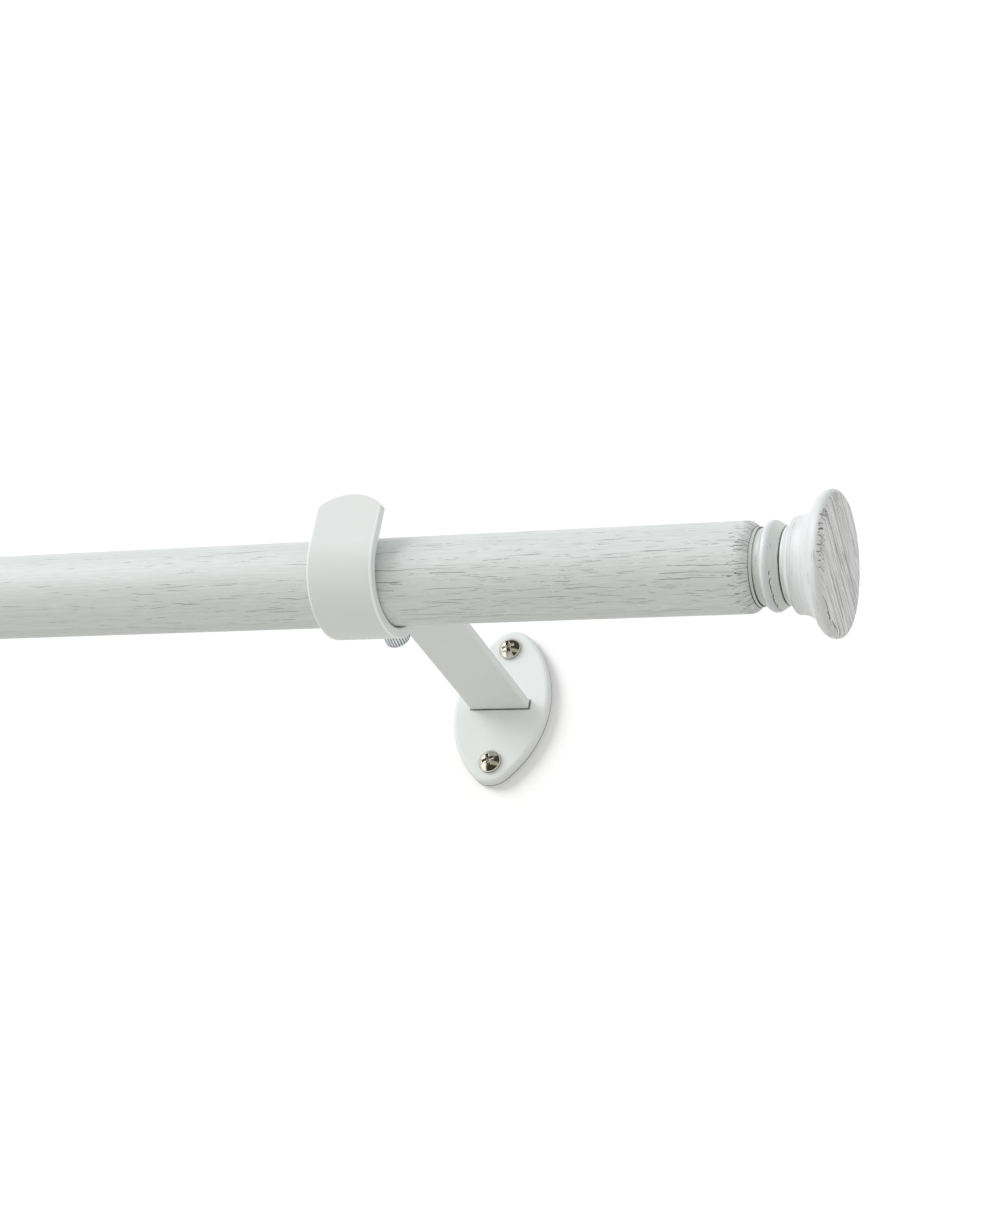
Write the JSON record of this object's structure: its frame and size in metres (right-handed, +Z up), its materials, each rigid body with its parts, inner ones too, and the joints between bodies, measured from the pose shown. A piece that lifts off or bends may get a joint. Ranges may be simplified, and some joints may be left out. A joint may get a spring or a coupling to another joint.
{
  "type": "curtain rod",
  "caption": "Adjustable curtain rod: distressed white tubes that slide in each other, turned flared finials, and bent strap brackets with cradles on oval wall plates.",
  "frame": {"origin": "middle of the right wall plate, on the wall plane", "axes": "+X along the rod to its right end, +Y into the wall, +Z up"},
  "size_m": [0.7624, 0.1536, 0.061],
  "materials": {
    "rod_paint": "pale grey-green white paint, brushed along the rod and crackled, with fine dark cracks",
    "finial_paint": "the same distressed white paint on moulded resin, brushed round the turnings and slantwise on the end disc",
    "bracket_coat": "satin powder coat, pale grey-white",
    "nickel_steel": "bright nickel plate",
    "zinc_steel": "bright zinc plate"
  },
  "bodies": {
    "right_half": {"outer_tube": "rod_paint", "right_end_plug": "rod_paint", "right_bracket": "bracket_coat", "right_wall_plate": "bracket_coat", "right_upper_wall_screw": "nickel_steel", "right_lower_wall_screw": "nickel_steel"},
    "left_half": {"inner_tube": "rod_paint", "left_end_plug": "rod_paint", "left_bracket": "bracket_coat", "left_wall_plate": "bracket_coat", "left_upper_wall_screw": "nickel_steel", "left_lower_wall_screw": "nickel_steel"},
    "right_finial": {"right_finial": "finial_paint", "right_finial_stud": "zinc_steel"},
    "left_finial": {"left_finial": "finial_paint", "left_finial_stud": "zinc_steel"},
    "right_thumbscrew": {"right_thumbscrew": "zinc_steel"},
    "left_thumbscrew": {"left_thumbscrew": "zinc_steel"}
  },
  "joints": [
    {"name": "rod_extend", "type": "slide", "parent": "right_half", "child": "left_half", "axis": [-1, 0, 0], "range_m": [0, 0.48]},
    {"name": "right_finial_off", "type": "slide", "parent": "right_half", "child": "right_finial", "axis": [1, 0, 0], "range_m": [0, 0.03]},
    {"name": "left_finial_off", "type": "slide", "parent": "left_half", "child": "left_finial", "axis": [-1, 0, 0], "range_m": [0, 0.03]},
    {"name": "right_thumbscrew_turn", "type": "hinge", "parent": "right_half", "child": "right_thumbscrew", "pos_m": [0, -0.1065, -0.0095], "axis": [0, 0.9659, -0.2588], "range_deg": [0, 1260]},
    {"name": "left_thumbscrew_turn", "type": "hinge", "parent": "left_half", "child": "left_thumbscrew", "pos_m": [-0.4798, -0.1065, -0.0083], "axis": [0, 0.9659, -0.2588], "range_deg": [0, 1260]}
  ]
}
